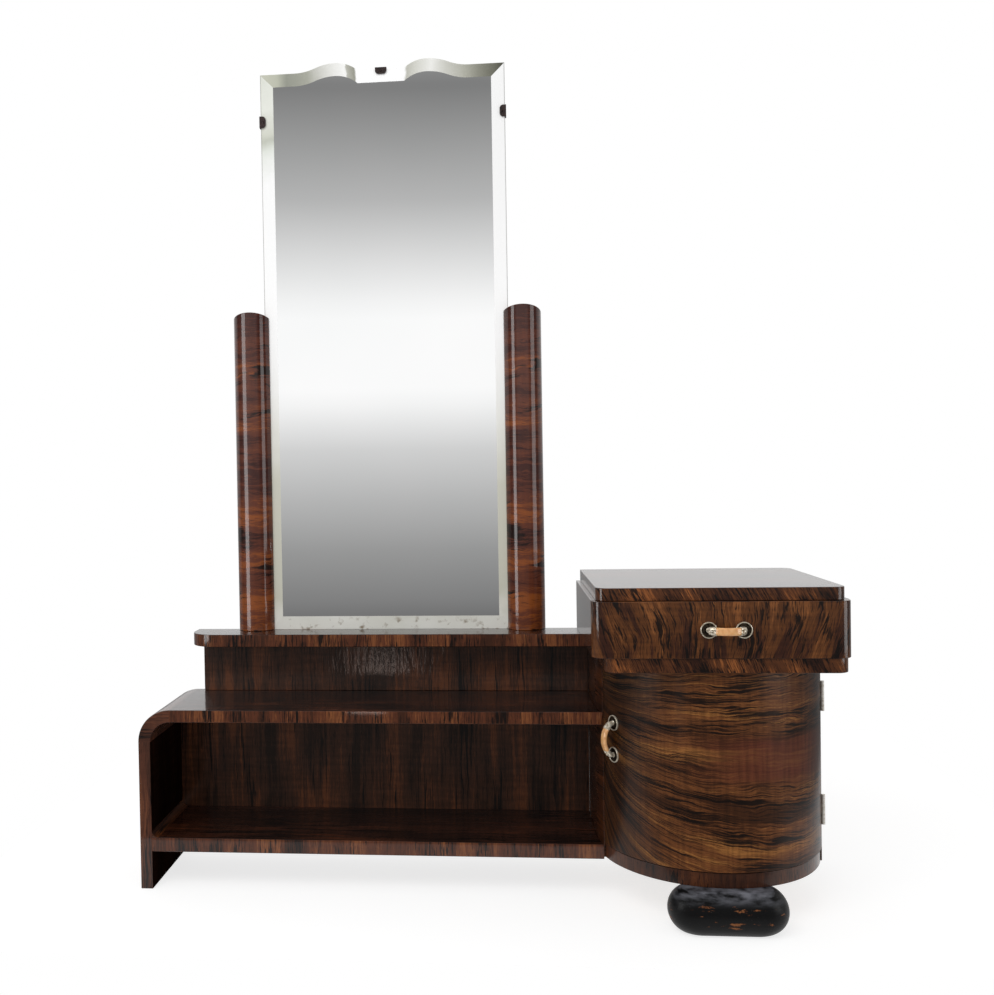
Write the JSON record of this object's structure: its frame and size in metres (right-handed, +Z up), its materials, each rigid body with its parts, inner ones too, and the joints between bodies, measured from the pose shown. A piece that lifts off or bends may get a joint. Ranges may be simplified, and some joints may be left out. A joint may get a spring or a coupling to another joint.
{
  "type": "dressing table with mirror",
  "caption": "Asymmetric walnut veneered dressing table: low open shelf, tall bevelled mirror between half round columns, drawer box over a round fronted cabinet on a cushion foot.",
  "frame": {"origin": "on the floor, in the middle of the whole piece's width and depth", "axes": "+X to the right as seen from the front, -Y to the front, +Z up"},
  "size_m": [1.418, 0.433, 1.8108],
  "materials": {
    "walnut_veneer": "figured walnut veneer under high gloss polish",
    "plain_wood": "plain inner wood, unpolished",
    "ebonised_wood": "black stained wood with worn polish",
    "mirror_glass": "silvered plate glass with a wide bevel",
    "dark_clip": "dark brown lacquer",
    "nickel": "aged nickel plate",
    "tan_grip": "polished tan resin"
  },
  "bodies": {
    "carcass": {"apron_board": "walnut_veneer", "base_band": "walnut_veneer", "bottom_shelf": "walnut_veneer", "box_back": "plain_wood", "box_bottom": "plain_wood", "box_left_side": "walnut_veneer", "box_right_side": "walnut_veneer", "cabinet_back_panel": "plain_wood", "cabinet_bottom": "plain_wood", "cabinet_left_side": "walnut_veneer", "cabinet_right_side": "walnut_veneer", "cabinet_shelf": "plain_wood", "clip_screws": "dark_clip", "cushion_foot": "ebonised_wood", "door_stop": "plain_wood", "drawer_guide_left": "plain_wood", "drawer_guide_right": "plain_wood", "drawer_stop": "plain_wood", "hinge_pins": "nickel", "left_column": "walnut_veneer", "left_side_panel": "walnut_veneer", "lower_hinge_side_leaf": "nickel", "lower_top": "walnut_veneer", "mirror_backing_board": "plain_wood", "mirror_clips": "dark_clip", "mirror_glass": "mirror_glass", "mirror_plank": "walnut_veneer", "niche_back_panel": "walnut_veneer", "niche_cove": "walnut_veneer", "rear_foot": "ebonised_wood", "right_column": "walnut_veneer", "riser_panel": "walnut_veneer", "shelf_cleats": "plain_wood", "top_slab": "walnut_veneer", "upper_hinge_side_leaf": "nickel", "waterfall_corner": "walnut_veneer"},
    "drawer": {"drawer_front": "walnut_veneer", "drawer_left_side": "plain_wood", "drawer_right_side": "plain_wood", "drawer_back": "plain_wood", "drawer_bottom": "plain_wood", "drawer_handle_rosettes": "nickel", "drawer_handle_ends": "nickel", "drawer_handle_grip": "tan_grip", "drawer_handle_studs": "nickel"},
    "door": {"door_panel": "walnut_veneer", "upper_hinge_door_leaf": "nickel", "lower_hinge_door_leaf": "nickel", "door_handle_rosettes": "nickel", "door_handle_ends": "nickel", "door_handle_grip": "tan_grip", "door_handle_studs": "nickel"}
  },
  "joints": [
    {"name": "drawer_slide", "type": "slide", "parent": "carcass", "child": "drawer", "axis": [0, -1, 0], "range_m": [0, 0.25]},
    {"name": "door_hinge", "type": "hinge", "parent": "carcass", "child": "door", "pos_m": [0.70127, -0.01342, 0.3], "axis": [0, 0, 1], "range_deg": [0, 100]}
  ]
}
